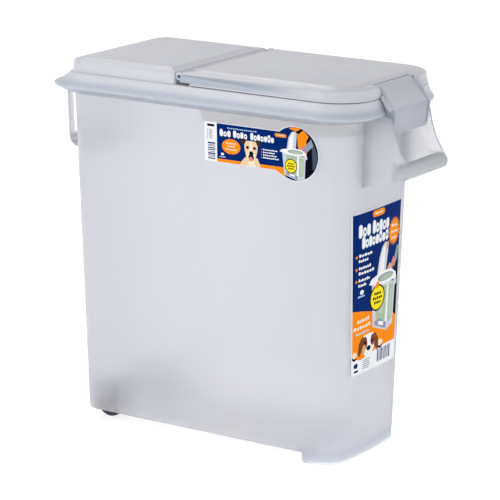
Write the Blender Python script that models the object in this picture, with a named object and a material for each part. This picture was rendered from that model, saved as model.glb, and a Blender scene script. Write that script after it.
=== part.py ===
"""Roll-away pet food bin.

A tapered, see-through tub stands on a front foot and on two rear wheels. A lid frame
lifts off its rim. The frame carries a flip door on two hinge pins, and the door carries a
latch flap at the front. Units are metres, +Z is up, +X is the front (latch and pull
handle), and the origin is the centre of the footprint on the floor.
"""
import math
from collections import namedtuple

import bmesh
import bpy
from mathutils import Vector

MM = 0.001

# Rounded outlines in plan: rear and front X, half width in Y, corner radii, front bow.
Plan = namedtuple("Plan", "rear front half r_rear r_front bow")
TUB_FOOTING = Plan(-214.2 * MM, 172.5 * MM, 86.0 * MM, 20 * MM, 38 * MM, 5 * MM)
TUB_NECK = Plan(-222.8 * MM, 188.9 * MM, 98.0 * MM, 23 * MM, 46 * MM, 4 * MM)
RIM = Plan(-253.7 * MM, 216.3 * MM, 111.0 * MM, 44 * MM, 47.5 * MM, 0.0)
LIP = Plan(-256.25 * MM, 218.8 * MM, 113.5 * MM, 46.5 * MM, 50 * MM, 0.0)
LEDGE = Plan(-222.0 * MM, 212.6 * MM, 108.3 * MM, 26 * MM, 50 * MM, 0.0)
CROWN = Plan(-219.3 * MM, -48.6 * MM, 105.8 * MM, 22 * MM, 4 * MM, 0.0)
DOOR = Plan(-42.75 * MM, 211.2 * MM, 107.0 * MM, 4 * MM, 49 * MM, 2 * MM)
MOUTH = Plan(-27.5 * MM, 186.0 * MM, 84.0 * MM, 26 * MM, 30 * MM, 0.0)
SEAL_TRACK = Plan(-34.0 * MM, 196.0 * MM, 102.0 * MM, 10 * MM, 38 * MM, 0.0)
FOOT = Plan(126.5 * MM, 171.5 * MM, 85.6 * MM, 4 * MM, 36 * MM, 5 * MM)

# Plastic thicknesses and running gaps.
WALL = 2.5 * MM
SHELL = 2.2 * MM
GAP = 0.3 * MM
CUT_MARGIN = 6 * MM
RIM_LAND = 5 * MM

# Heights above the floor.
SKIRT_Z = 13.5 * MM
FLOOR_Z = 16 * MM
NECK_Z = 440 * MM
RIM_Z = 448.3 * MM
RIM_TOP_Z = 450 * MM
LIP_Z = 448.6 * MM
SEAT_Z = 453.2 * MM
DECK_Z = 469.6 * MM
CROWN_EDGE_Z = 485.2 * MM
CROWN_TOP_Z = 487.5 * MM
CROWN_RIDGE = 12 * MM
DOOR_RIDGE = 17 * MM
DOOR_HEM_Z = 470.6 * MM
HEM_BEAD = 0.9 * MM
HEM_BEAD_TALL = 2.6 * MM
COLLAR_RISE = 5 * MM
SEAL_HEIGHT = 4 * MM

# Rear wheel well, axle and wheels.
WHEEL_R = 21.3 * MM
WHEEL_WIDTH = 17 * MM
WHEEL_Y = 57 * MM
AXLE_X = -188.0 * MM
AXLE_R = 3 * MM
AXLE_HALF = 74 * MM
WELL_FRONT_X = -158 * MM
WELL_Z = 46 * MM
RIB_THICK = 3 * MM
RIB_OFFSET = 12 * MM
RIB_DEPTH_Z = 15.2 * MM
SLOT_WIDTH = 5 * MM
CAP_R = 5 * MM

# Handles.
WEB_Y = 47 * MM
WEB_THICK = 3 * MM
GRIP_X = 246.25 * MM
GRIP_Z = 382 * MM
GRIP_R = 10 * MM
HANDLE_ROOT_Z = 355 * MM
STRAP_X = -255.0 * MM
STRAP_HALF = 58 * MM
STRAP_POST = 9 * MM
STRAP_BEND = 14 * MM
STRAP_BASE_Z = 360 * MM
STRAP_WINDOW_Z = (377 * MM, 433 * MM)

# Door hinge and latch.
HINGE_X = DOOR.rear
HINGE_Z = 480.5 * MM
HINGE_R = 5 * MM
HINGE_PIN_R = 2 * MM
HINGE_Y = 70 * MM
KNUCKLE_HALF = 10 * MM
LUG_THICK = 6 * MM
LUG_ROOM = 7 * MM
ROLL_HALF = DOOR.half - 1.2 * MM
HEM_TRIM = 17 * MM
LATCH_X = 203.25 * MM
LATCH_Z = 481.5 * MM
LATCH_R = 3.5 * MM
LATCH_PIN_R = 1.5 * MM
LATCH_HALF = 42 * MM
CHEEK_THICK = 2.4 * MM
WING_HALF = 47.3 * MM
LATCH_BEND = (230.75 * MM, 457 * MM)
LATCH_TOE = (227.75 * MM, 424.5 * MM)
CATCH_X = LIP.front + 0.8 * MM
CATCH_Z = 449.2 * MM
NOTCH_X = 199.25 * MM
NOTCH_HALF = 43 * MM
EAR = 6 * MM

# Printed labels.
LABEL_THICK = 0.3 * MM
SIDE_LABEL_X0 = -10.25 * MM
SIDE_LABEL_Z0 = 376.5 * MM
SIDE_LABEL_Z1 = 427 * MM
MEDAL = (123.75 * MM, 400.5 * MM)
MEDAL_R = 34.7 * MM
# The front label's lower and upper edge: height, and its two ends in Y.
FRONT_LABEL_LOW = (113.2 * MM, -52.5 * MM, 51 * MM)
FRONT_LABEL_HIGH = (324.3 * MM, -64 * MM, 52.5 * MM)

# Facet counts.
ARC = 8
END_RUN = 8
SIDE_RUN = 6
RIM_STEPS = 5
ROUND = 32
SMALL_ROUND = 24


# ---------------------------------------------------------------- helpers

def clear_scene():
    for obj in list(bpy.data.objects):
        bpy.data.objects.remove(obj, do_unlink=True)


def make_material(name, colour, roughness, metallic=0.0):
    mat = bpy.data.materials.new(name)
    mat.use_nodes = True
    shader = mat.node_tree.nodes["Principled BSDF"]
    shader.inputs["Base Color"].default_value = (*colour, 1.0)
    shader.inputs["Roughness"].default_value = roughness
    shader.inputs["Metallic"].default_value = metallic
    return mat


def add_object(name, bm, parent=None, mat=None, origin=(0, 0, 0)):
    """Turn a bmesh drawn in world space into an object whose origin is at the given point."""
    shift = Vector(origin)
    bmesh.ops.translate(bm, verts=bm.verts, vec=-shift)
    mesh = bpy.data.meshes.new(name)
    bm.to_mesh(mesh)
    bm.free()
    obj = bpy.data.objects.new(name, mesh)
    bpy.context.collection.objects.link(obj)
    obj.location = shift
    if parent is not None:
        obj.location = shift - Vector(parent["at"])
        obj.parent = parent
    if mat is not None:
        mesh.materials.append(mat)
        mesh.shade_smooth()
        mesh.set_sharp_from_angle(angle=math.radians(35))
    return obj


def add_empty(name, at, parent=None):
    """An empty on a joint's axis. Its world position is kept as a property for its children."""
    empty = bpy.data.objects.new(name, None)
    bpy.context.collection.objects.link(empty)
    empty.location = at
    empty["at"] = at
    if parent is not None:
        empty.location = Vector(at) - Vector(parent["at"])
        empty.parent = parent
    return empty


def combine(obj, tool, operation):
    """Boolean a hidden tool object into obj."""
    tool.hide_render = True
    tool.display_type = "WIRE"
    mod = obj.modifiers.new(tool.name, "BOOLEAN")
    mod.object = tool
    mod.operation = operation
    mod.solver = "EXACT"


def inset(plan, by, bow=None):
    return Plan(plan.rear + by, plan.front - by, plan.half - by,
                max(plan.r_rear - by, 1 * MM), max(plan.r_front - by, 1 * MM),
                plan.bow if bow is None else bow)


def blend(low, high, t):
    return Plan(*(a + (b - a) * t for a, b in zip(low, high)))


def tub_plan(z):
    """The tub wall's outline at height z: a straight taper from footing to neck."""
    return blend(TUB_FOOTING, TUB_NECK, (z - SKIRT_Z) / (NECK_Z - SKIRT_Z))


def run(start, end, steps):
    """Points strictly between start and end."""
    return [start.lerp(end, i / steps) for i in range(1, steps)]


def outline(plan, z):
    """Anticlockwise rounded outline at height z, always with the same number of points."""
    corners = [
        (plan.front - plan.r_front, -plan.half + plan.r_front, plan.r_front, -90),
        (plan.front - plan.r_front, plan.half - plan.r_front, plan.r_front, 0),
        (plan.rear + plan.r_rear, plan.half - plan.r_rear, plan.r_rear, 90),
        (plan.rear + plan.r_rear, -plan.half + plan.r_rear, plan.r_rear, 180),
    ]
    arcs = []
    for cx, cy, radius, start in corners:
        angles = [math.radians(start + 90 * i / ARC) for i in range(ARC + 1)]
        arcs.append([Vector((cx + radius * math.cos(a), cy + radius * math.sin(a), z)) for a in angles])
    points = []
    for i, arc in enumerate(arcs):
        points += arc
        steps = END_RUN if i in (0, 2) else SIDE_RUN
        points += run(arc[-1], arcs[(i + 1) % 4][0], steps)
    middle = (plan.rear + plan.front) / 2
    for p in points:
        if p.x > middle:
            p.x += plan.bow * (1 - (p.y / plan.half) ** 2)
    return points


def loft(rings, closed=False):
    """Skin rings in order. A closed loft joins its last ring to its first."""
    bm = bmesh.new()
    loops = [[bm.verts.new(p) for p in ring] for ring in rings]
    count = len(loops[0])
    pairs = list(zip(loops, loops[1:]))
    if closed:
        pairs.append((loops[-1], loops[0]))
    for low, high in pairs:
        for i in range(count):
            j = (i + 1) % count
            bm.faces.new((low[i], low[j], high[j], high[i]))
    if not closed:
        bm.faces.new(list(reversed(loops[0])))
        bm.faces.new(loops[-1])
    return bm


def plan_loft(levels):
    """Loft (plan, z) levels, listed upwards."""
    return loft([outline(plan, z) for plan, z in levels])


def ring_solid(outer, inner, z0, z1):
    """A closed ring of rectangular section between two outlines."""
    return loft([outline(outer, z0), outline(outer, z1), outline(inner, z1), outline(inner, z0)], closed=True)


def prism(profile, y0, y1):
    """Extrude a profile of (x, z) points, anticlockwise with +X right and +Z up, from y0 to y1."""
    bm = bmesh.new()
    near = [bm.verts.new((x, y0, z)) for x, z in profile]
    face = bm.faces.new(near)
    out = bmesh.ops.extrude_face_region(bm, geom=[face])
    moved = [v for v in out["geom"] if isinstance(v, bmesh.types.BMVert)]
    bmesh.ops.translate(bm, verts=moved, vec=(0, y1 - y0, 0))
    bmesh.ops.recalc_face_normals(bm, faces=bm.faces)
    return bm


def box(x, y, z):
    """A box from three (low, high) pairs."""
    return prism([(x[0], z[0]), (x[1], z[0]), (x[1], z[1]), (x[0], z[1])], y[0], y[1])


def arc_points(centre, radius, start, end, steps):
    """(x, z) points along an arc, angles in degrees."""
    angles = [math.radians(start + (end - start) * i / steps) for i in range(steps + 1)]
    return [(centre[0] + radius * math.cos(a), centre[1] + radius * math.sin(a)) for a in angles]


def turned(profile, centre, segments=ROUND):
    """Spin a closed profile of (along Y, radius) points about the line through centre along Y."""
    bm = bmesh.new()
    verts = [bm.verts.new((centre[0] + r, centre[1] + y, centre[2])) for y, r in profile]
    edges = [bm.edges.new((verts[i], verts[(i + 1) % len(verts)])) for i in range(len(verts))]
    bmesh.ops.spin(bm, geom=verts + edges, cent=centre, axis=(0, 1, 0), angle=math.tau,
                   steps=segments, use_merge=True, use_duplicate=False)
    bmesh.ops.remove_doubles(bm, verts=bm.verts, dist=1e-7)
    bmesh.ops.recalc_face_normals(bm, faces=bm.faces)
    return bm


def circle(x, z, radius, segments):
    """(x, z) points once round a circle."""
    return arc_points((x, z), radius, 0, 360 - 360 / segments, segments - 1)


def rod(x, z, radius, y0, y1, segments=ROUND):
    """A plain round bar along Y."""
    return prism(circle(x, z, radius, segments), y0, y1)


def stepped_pin(x, z, steps, segments):
    """A closed turned bar along Y through (y, radius) steps."""
    bm = loft([[Vector((px, y, pz)) for px, pz in circle(x, z, r, segments)] for y, r in steps])
    bmesh.ops.recalc_face_normals(bm, faces=bm.faces)
    return bm


def flare(low, high, z0, z1):
    """Levels that spread from the low to the high plan, a little steeper at the end than at the start."""
    shares = [i / RIM_STEPS for i in range(1, RIM_STEPS + 1)]
    return [(blend(low, high, share ** 0.8), z0 + (z1 - z0) * share) for share in shares]


# ---------------------------------------------------------------- tub

def foot_levels(grow, base):
    """The stepped-down foot under the front of the tub."""
    return [
        (inset(FOOT, 3.4 * MM - grow), base),
        (inset(FOOT, 1.2 * MM - grow), base + 1.2 * MM),
        (inset(FOOT, -grow), base + 4.5 * MM),
        (inset(FOOT, 0.3 * MM - grow), SKIRT_Z + 10 * MM),
    ]


def tub_blank():
    """The outside of the tub, solid, from the bottom edge to the top of the rim."""
    levels = [
        (inset(TUB_FOOTING, 3 * MM), SKIRT_Z),
        (inset(TUB_FOOTING, 0.9 * MM), SKIRT_Z + 0.9 * MM),
        (tub_plan(SKIRT_Z + 3 * MM), SKIRT_Z + 3 * MM),
        (TUB_NECK, NECK_Z),
    ]
    levels += flare(TUB_NECK, RIM, NECK_Z, RIM_Z)
    levels.append((RIM, RIM_TOP_Z))
    return plan_loft(levels)


def tub_hollow():
    """The inside of the tub, from its floor up past the rim."""
    land = inset(RIM, RIM_LAND)
    inner_neck = inset(TUB_NECK, WALL)
    levels = [
        (inset(tub_plan(FLOOR_Z), WALL + 2 * MM), FLOOR_Z),
        (inset(tub_plan(FLOOR_Z + 2 * MM), WALL), FLOOR_Z + 2 * MM),
        (inner_neck, NECK_Z + WALL),
    ]
    levels += flare(inner_neck, land, NECK_Z + WALL, RIM_TOP_Z + 1 * MM)
    levels.append((land, RIM_TOP_Z + CUT_MARGIN))
    return plan_loft(levels)


def wheel_well_plan(grow):
    base = inset(TUB_FOOTING, WALL)
    return Plan(base.rear - grow, WELL_FRONT_X + grow, base.half + grow, 17 * MM, 4 * MM, 0.0)


def axle_rib(y):
    """A rib under the raised floor with a snap-in keyhole for the axle."""
    bar = box((AXLE_X - 9 * MM, AXLE_X + 9 * MM), (y - RIB_THICK / 2, y + RIB_THICK / 2),
              (RIB_DEPTH_Z, WELL_Z + 1.2 * MM))
    rib = add_object(f"rib_{round(y / MM)}", bar)
    bore = rod(AXLE_X, WHEEL_R, AXLE_R + GAP, y - RIB_THICK, y + RIB_THICK)
    combine(rib, add_object(f"bore_{round(y / MM)}", bore), "DIFFERENCE")
    slot = box((AXLE_X - SLOT_WIDTH / 2, AXLE_X + SLOT_WIDTH / 2), (y - RIB_THICK, y + RIB_THICK),
               (RIB_DEPTH_Z - CUT_MARGIN, WHEEL_R))
    combine(rib, add_object(f"slot_{round(y / MM)}", slot), "DIFFERENCE")
    return rib


def web_profile():
    """Side web of the front handle: a flared ear whose lower corner wraps the grip."""
    root_x = TUB_NECK.front - 3 * MM
    top_z = LIP_Z - GAP
    corner = arc_points((GRIP_X, GRIP_Z), GRIP_R, -100, 20, 8)
    flared = [(250.4 * MM, 393.5 * MM), (240.4 * MM, 410 * MM), (233.6 * MM, 430 * MM), (231 * MM, 444 * MM)]
    top = [(229.5 * MM, top_z), (214 * MM, top_z), (root_x, NECK_Z)]
    return [(root_x, HANDLE_ROOT_Z)] + corner + flared + top


def grip_profile():
    """The rolled grip, an open C whose mouth faces back and down."""
    centre = (GRIP_X, GRIP_Z)
    outer = arc_points(centre, GRIP_R, -100, 150, 16)
    inner = arc_points(centre, GRIP_R - WALL, 150, -100, 16)
    return outer + inner


def strap_profile():
    """The rear carry loop seen from the side: out from under the rim, down, then in to the wall."""
    low_x = STRAP_X + 2.5 * MM
    centre = (low_x + STRAP_BEND, STRAP_BASE_Z + STRAP_BEND)
    foot_x = TUB_NECK.rear + 3.3 * MM
    outer = [(STRAP_X + 9 * MM, 447.2 * MM), (STRAP_X + 2 * MM, 443.5 * MM), (STRAP_X, 440 * MM)]
    outer += arc_points(centre, STRAP_BEND, 180, 265, 7)
    outer += [(foot_x, STRAP_BASE_Z - 2 * MM)]
    inner = [(foot_x, STRAP_BASE_Z + WALL - 2 * MM)]
    inner += arc_points(centre, STRAP_BEND - WALL, 265, 180, 7)
    inner += [(STRAP_X + WALL, 439 * MM), (STRAP_X + WALL + 1.5 * MM, 441.5 * MM)]
    inner += [(STRAP_X + 11 * MM, 444.7 * MM)]
    return outer + inner


def add_front_handle(tub):
    for side in (-1, 1):
        inner, outer = sorted((side * (WEB_Y - WEB_THICK), side * WEB_Y))
        combine(tub, add_object(f"web_{side}", prism(web_profile(), inner, outer)), "UNION")
    reach = WEB_Y - WEB_THICK / 2
    combine(tub, add_object("grip", prism(grip_profile(), -reach, reach)), "UNION")


def add_rear_handle(tub):
    strap = add_object("strap", prism(strap_profile(), -STRAP_HALF, STRAP_HALF))
    window = STRAP_HALF - STRAP_POST
    opening = box((STRAP_X - CUT_MARGIN, STRAP_X + 9 * MM), (-window, window), STRAP_WINDOW_Z)
    combine(strap, add_object("strap_window", opening), "DIFFERENCE")
    combine(tub, strap, "UNION")


def build_tub(parent, mat):
    tub = add_object("tub", tub_blank(), parent, mat)
    combine(tub, add_object("foot_blank", plan_loft(foot_levels(0.0, 0.0))), "UNION")

    hollow = add_object("hollow", tub_hollow())
    pocket = plan_loft(foot_levels(-WALL, WALL))
    combine(hollow, add_object("foot_pocket", pocket), "UNION")
    raised = wheel_well_plan(WALL)
    raised = Plan(raised.rear - CUT_MARGIN, raised.front, raised.half + CUT_MARGIN, 17 * MM, 4 * MM, 0.0)
    keep = add_object("raised_floor", plan_loft([(raised, 0.0), (raised, WELL_Z + WALL)]))
    combine(hollow, keep, "DIFFERENCE")
    combine(tub, hollow, "DIFFERENCE")

    well = wheel_well_plan(0.0)
    combine(tub, add_object("wheel_well", plan_loft([(well, -CUT_MARGIN), (well, WELL_Z)])), "DIFFERENCE")
    for side in (-1, 1):
        for offset in (-RIB_OFFSET, RIB_OFFSET):
            combine(tub, axle_rib(side * WHEEL_Y + offset), "UNION")
    add_front_handle(tub)
    add_rear_handle(tub)
    return tub


# ---------------------------------------------------------------- wheels and axle

def build_axle(parent, mat):
    chamfer = 0.6 * MM
    steps = [(-AXLE_HALF, AXLE_R - chamfer), (chamfer - AXLE_HALF, AXLE_R),
             (AXLE_HALF - chamfer, AXLE_R), (AXLE_HALF, AXLE_R - chamfer)]
    bm = stepped_pin(AXLE_X, WHEEL_R, steps, ROUND)
    return add_object("axle", bm, parent, mat, (AXLE_X, 0, WHEEL_R))


def build_wheel(name, side, parent, mat):
    """A moulded wheel with a dished web, bored to run on the axle."""
    half = WHEEL_WIDTH / 2
    bore = AXLE_R + GAP
    hub = 6.5 * MM
    dish = half - 5 * MM
    tread = half - 1.5 * MM
    face = [(half, bore), (half, hub), (dish, hub + 1.5 * MM), (dish, 14 * MM), (half, 16 * MM),
            (half, WHEEL_R - 1.5 * MM), (tread, WHEEL_R)]
    profile = [(-y, r) for y, r in face] + list(reversed(face))
    centre = (AXLE_X, side * WHEEL_Y, WHEEL_R)
    return add_object(name, turned(profile, centre, 40), parent, mat, centre)


def build_axle_cap(name, side, parent, mat):
    """A push-on cap over the axle's end: a blind cup."""
    face = AXLE_HALF + 1.5 * MM
    floor = AXLE_HALF + GAP
    skirt = AXLE_HALF - 3.4 * MM
    bore = AXLE_R + GAP
    steps = [(floor, bore), (skirt, bore), (skirt, CAP_R), (face - 1 * MM, CAP_R), (face, CAP_R - 1 * MM)]
    bm = stepped_pin(AXLE_X, WHEEL_R, [(side * y, r) for y, r in steps], ROUND)
    return add_object(name, bm, parent, mat, (AXLE_X, side * AXLE_HALF, WHEEL_R))


# ---------------------------------------------------------------- lid frame

def shoulder(low, high, z0, z1):
    """Levels from the lip in and up to the deck: flat over the lip, then a straight slope."""
    shape = ((0.12, 0.05), (0.34, 0.18), (0.62, 0.48), (0.90, 0.88), (1.0, 1.0))
    return [(blend(low, high, across), z0 + (z1 - z0) * rise) for across, rise in shape]


def frame_blank():
    """Outside of the frame: a rolled lip, a sloping shoulder and a flat deck."""
    levels = [(inset(LIP, 1.2 * MM), LIP_Z), (inset(LIP, 0.3 * MM), LIP_Z + 1 * MM),
              (LIP, LIP_Z + 2.4 * MM), (LIP, SEAT_Z - 1 * MM)]
    return plan_loft(levels + shoulder(LIP, LEDGE, SEAT_Z, DECK_Z))


def frame_hollow():
    """Underside of the frame: the space over the rim, the gasket's seat and the space under the deck."""
    lip = inset(LIP, SHELL)
    seat = inset(RIM, RIM_LAND + 0.4 * MM)
    levels = [(lip, LIP_Z - CUT_MARGIN), (lip, SEAT_Z - SHELL), (seat, SEAT_Z - SHELL + 0.01 * MM)]
    return plan_loft(levels + shoulder(seat, inset(LEDGE, 3.4 * MM), SEAT_Z - SHELL, DECK_Z - SHELL))


def cap_levels(plan, thin, base, knee_z, ridge):
    """A shallow cap with a raised panel that starts ridge in from its edge. thin insets every face."""
    return [
        (inset(plan, thin), base),
        (inset(plan, 0.5 * MM + thin), knee_z),
        (inset(plan, 1.3 * MM + thin), CROWN_EDGE_Z - 3.5 * MM - thin),
        (inset(plan, 2.3 * MM + thin), CROWN_EDGE_Z - 0.9 * MM - thin),
        (inset(plan, 4.8 * MM + thin), CROWN_EDGE_Z - thin),
        (inset(plan, ridge + thin), CROWN_EDGE_Z + 0.3 * MM - thin),
        (inset(plan, ridge + 3 * MM + thin), CROWN_TOP_Z - 0.5 * MM - thin),
        (inset(plan, ridge + 6 * MM + thin), CROWN_TOP_Z - thin),
    ]


def lug(name, y):
    """A hinge lug on the deck, bored for the pin."""
    body = [(HINGE_X - HINGE_R, DECK_Z - 1 * MM), (HINGE_X + HINGE_R, DECK_Z - 1 * MM)]
    body += arc_points((HINGE_X, HINGE_Z), HINGE_R, 0, 180, 12)
    piece = add_object(name, prism(body, y - LUG_THICK / 2, y + LUG_THICK / 2))
    bore = rod(HINGE_X, HINGE_Z, HINGE_PIN_R + GAP / 2, y - LUG_THICK, y + LUG_THICK, 24)
    combine(piece, add_object(f"{name}_bore", bore), "DIFFERENCE")
    return piece


def build_lid_frame(parent, mat):
    frame = add_object("lid_frame", frame_blank(), parent, mat)
    knee_z = DECK_Z + 4 * MM
    crown = plan_loft(cap_levels(CROWN, 0.0, DECK_Z - 1 * MM, knee_z, CROWN_RIDGE))
    combine(frame, add_object("crown", crown), "UNION")
    combine(frame, add_object("frame_hollow", frame_hollow()), "DIFFERENCE")
    under_deck = DECK_Z - SHELL - 1 * MM
    crown_inside = plan_loft(cap_levels(CROWN, SHELL, under_deck, knee_z, CROWN_RIDGE))
    combine(frame, add_object("crown_hollow", crown_inside), "DIFFERENCE")
    mouth = plan_loft([(MOUTH, DECK_Z - CUT_MARGIN), (MOUTH, DECK_Z + CUT_MARGIN)])
    combine(frame, add_object("door_mouth", mouth), "DIFFERENCE")
    collar = ring_solid(inset(MOUTH, -SHELL), MOUTH, DECK_Z - SHELL - 0.6 * MM, DECK_Z + COLLAR_RISE)
    combine(frame, add_object("collar", collar), "UNION")
    for side in (-1, 1):
        for end in (-1, 1):
            y = side * HINGE_Y + end * (KNUCKLE_HALF + 0.5 * MM + LUG_THICK / 2)
            combine(frame, lug(f"lug_{side}_{end}", y), "UNION")
    return frame


# ---------------------------------------------------------------- door

def door_shell(parent, mat):
    """The door's cap, hollow underneath, with a beaded hem and a rib that presses on the seal."""
    knee_z = HINGE_Z - 4 * MM
    bead = inset(DOOR, -HEM_BEAD)
    hem = [(inset(DOOR, -0.3 * MM), DOOR_HEM_Z), (bead, DOOR_HEM_Z + 0.6 * MM),
           (bead, DOOR_HEM_Z + HEM_BEAD_TALL - 0.7 * MM)]
    cap = hem + cap_levels(DOOR, 0.0, DOOR_HEM_Z + HEM_BEAD_TALL, knee_z, DOOR_RIDGE)
    door = add_object("door", plan_loft(cap), parent, mat, (HINGE_X, 0, HINGE_Z))
    inside = plan_loft(cap_levels(DOOR, SHELL, DOOR_HEM_Z - CUT_MARGIN, knee_z, DOOR_RIDGE))
    combine(door, add_object("door_hollow", inside), "DIFFERENCE")
    rib = ring_solid(inset(SEAL_TRACK, 0.6 * MM), inset(SEAL_TRACK, 2.8 * MM),
                     DECK_Z + SEAL_HEIGHT + GAP, CROWN_EDGE_Z - 1 * MM)
    combine(door, add_object("press_rib", rib), "UNION")
    return door


def add_hinge_roll(door):
    """Trim the rear edge, add the hinge roll, then cut the rooms for the lugs and the pin bores."""
    beyond = DOOR.half + CUT_MARGIN
    trims = {"rear_trim": (HINGE_X + 1 * MM, HINGE_Z + 2 * CUT_MARGIN),
             "hem_trim": (HINGE_X + HEM_TRIM, DECK_Z + SEAL_HEIGHT)}
    for name, (front_x, top_z) in trims.items():
        trim = box((HINGE_X - CUT_MARGIN, front_x), (-beyond, beyond), (DOOR_HEM_Z - CUT_MARGIN, top_z))
        combine(door, add_object(name, trim), "DIFFERENCE")
    roll = rod(HINGE_X, HINGE_Z, HINGE_R, -ROLL_HALF, ROLL_HALF)
    combine(door, add_object("rear_roll", roll), "UNION")
    near_face = HINGE_Y - KNUCKLE_HALF
    far_face = HINGE_Y + KNUCKLE_HALF
    rooms = ((near_face - LUG_THICK - 1 * MM, near_face), (far_face, far_face + LUG_THICK + 4 * MM))
    for side in (-1, 1):
        for end, (start, stop) in enumerate(rooms):
            room = box((HINGE_X - LUG_ROOM, HINGE_X + LUG_ROOM), sorted((side * start, side * stop)),
                       (HINGE_Z - LUG_ROOM - 1 * MM, HINGE_Z + LUG_ROOM + 1 * MM))
            combine(door, add_object(f"lug_room_{side}_{end}", room), "DIFFERENCE")
        span = sorted((side * (near_face - 20 * MM), side * beyond))
        bore = rod(HINGE_X, HINGE_Z, HINGE_PIN_R + GAP, *span, SMALL_ROUND)
        combine(door, add_object(f"knuckle_bore_{side}", bore), "DIFFERENCE")


def add_latch_notch(door):
    """Cut the notch for the latch, and hang an ear at each side of it for the latch pin."""
    notch = box((NOTCH_X, DOOR.front + 4 * CUT_MARGIN), (-NOTCH_HALF, NOTCH_HALF),
                (DOOR_HEM_Z - CUT_MARGIN, CROWN_TOP_Z + CUT_MARGIN))
    combine(door, add_object("latch_notch", notch), "DIFFERENCE")
    for side in (-1, 1):
        span = sorted((side * NOTCH_HALF, side * (NOTCH_HALF + EAR)))
        ear = [(LATCH_X - 5 * MM, CROWN_EDGE_Z - 1.4 * MM), (LATCH_X - 4 * MM, LATCH_Z - 3 * MM)]
        ear += arc_points((LATCH_X, LATCH_Z), 4 * MM, 225, 360, 6)
        ear += [(LATCH_X + 4 * MM, CROWN_EDGE_Z - 2.6 * MM)]
        combine(door, add_object(f"ear_{side}", prism(ear, *span)), "UNION")
        bore = rod(LATCH_X, LATCH_Z, LATCH_PIN_R + GAP / 2, span[0] - 1 * MM, span[1] + 1 * MM, SMALL_ROUND)
        combine(door, add_object(f"ear_bore_{side}", bore), "DIFFERENCE")


def build_door(parent, mat):
    door = door_shell(parent, mat)
    add_hinge_roll(door)
    add_latch_notch(door)
    return door


def latch_profile():
    """The flap seen from the side, from its knuckle down the back face and up the front face."""
    t = SHELL
    bend_x, bend_z = LATCH_BEND
    toe_x, toe_z = LATCH_TOE
    back_x = bend_x - t - 0.2 * MM
    back = arc_points((LATCH_X, LATCH_Z), LATCH_R, 110, 300, 14)
    back += [(bend_x - 1.5 * t, bend_z - 0.2 * t), (bend_x - t, bend_z - 1.2 * t)]
    bead = [(back_x, CATCH_Z + 1.4 * MM), (CATCH_X + 1 * MM, CATCH_Z + 1.4 * MM),
            (CATCH_X, CATCH_Z + 0.6 * MM), (CATCH_X + 1 * MM, CATCH_Z - 0.6 * MM),
            (back_x, CATCH_Z - 1.8 * MM)]
    toe = [(toe_x - t, toe_z + 1 * MM), (toe_x - 0.8 * MM, toe_z), (toe_x, toe_z + 1 * MM)]
    front = [(bend_x + 0.2 * MM, bend_z - 3 * MM), (bend_x - 0.8 * MM, bend_z + 0.8 * MM),
             (LATCH_X + 3 * MM, LATCH_Z + LATCH_R)]
    return back + bead + toe + front


def cheek_profile():
    """The wall that closes each end of the flap, with its back edge a little off the frame's shoulder."""
    bend_x, bend_z = LATCH_BEND
    toe_x, toe_z = LATCH_TOE
    back = [(208.25 * MM, 480.5 * MM), (209.6 * MM, 475.5 * MM), (213.4 * MM, 471.2 * MM),
            (214.6 * MM, 467.6 * MM), (216.3 * MM, 461.4 * MM), (218.1 * MM, 456.9 * MM),
            (219.8 * MM, 453.6 * MM), (219.8 * MM, 449 * MM), (bend_x - 3.5 * MM, 441 * MM)]
    front = [(toe_x - 1 * MM, toe_z + 4 * MM), (toe_x + 1.6 * MM, toe_z + 4 * MM),
             (bend_x + 2.6 * MM, bend_z - 2 * MM), (bend_x + 1 * MM, bend_z + 2.6 * MM),
             (LATCH_X + 9 * MM, LATCH_Z + LATCH_R + 1.2 * MM)]
    return back + front


def latch_wing(side):
    """A short flange that falls away outwards from the sloping top of the flap."""
    root = [(214.9, 474.9), (214.9, 471.6), (227.6, 457.0), (229.8, 457.8)]
    edge = [(214.9, 472.6), (214.9, 470.2), (227.7, 454.9), (229.4, 455.9)]
    rings = []
    for y, section in ((LATCH_HALF - 0.5 * MM, root), (WING_HALF, edge)):
        rings.append([Vector((x * MM, side * y, z * MM)) for x, z in section])
    bm = loft(rings)
    bmesh.ops.recalc_face_normals(bm, faces=bm.faces)
    return bm


def build_latch(parent, mat):
    """A bent flap: knuckle, sloping top with side flanges, upright skirt with a catch bead behind it."""
    flap = prism(latch_profile(), -LATCH_HALF, LATCH_HALF)
    latch = add_object("latch", flap, parent, mat, (LATCH_X, 0, LATCH_Z))
    for side in (-1, 1):
        span = sorted((side * (LATCH_HALF - CHEEK_THICK), side * (LATCH_HALF - 0.01 * MM)))
        combine(latch, add_object(f"cheek_{side}", prism(cheek_profile(), *span)), "UNION")
        combine(latch, add_object(f"wing_{side}", latch_wing(side)), "UNION")
    reach = LATCH_HALF + 1 * MM
    bore = rod(LATCH_X, LATCH_Z, LATCH_PIN_R + GAP, -reach, reach, SMALL_ROUND)
    combine(latch, add_object("latch_bore", bore), "DIFFERENCE")
    return latch


def build_hinge_pin(name, side, parent, mat):
    """A headed pin, driven in from the outside through lug, knuckle and lug."""
    inner = HINGE_Y - KNUCKLE_HALF - LUG_THICK
    outer = HINGE_Y + KNUCKLE_HALF + LUG_THICK + 0.5 * MM + GAP
    head_r = HINGE_PIN_R + 1.2 * MM
    steps = [(inner, HINGE_PIN_R - 0.4 * MM), (inner + 0.6 * MM, HINGE_PIN_R), (outer, HINGE_PIN_R),
             (outer, head_r), (outer + 1.5 * MM, head_r)]
    bm = stepped_pin(HINGE_X, HINGE_Z, [(side * y, r) for y, r in steps], SMALL_ROUND)
    return add_object(name, bm, parent, mat, (HINGE_X, side * HINGE_Y, HINGE_Z))


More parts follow.
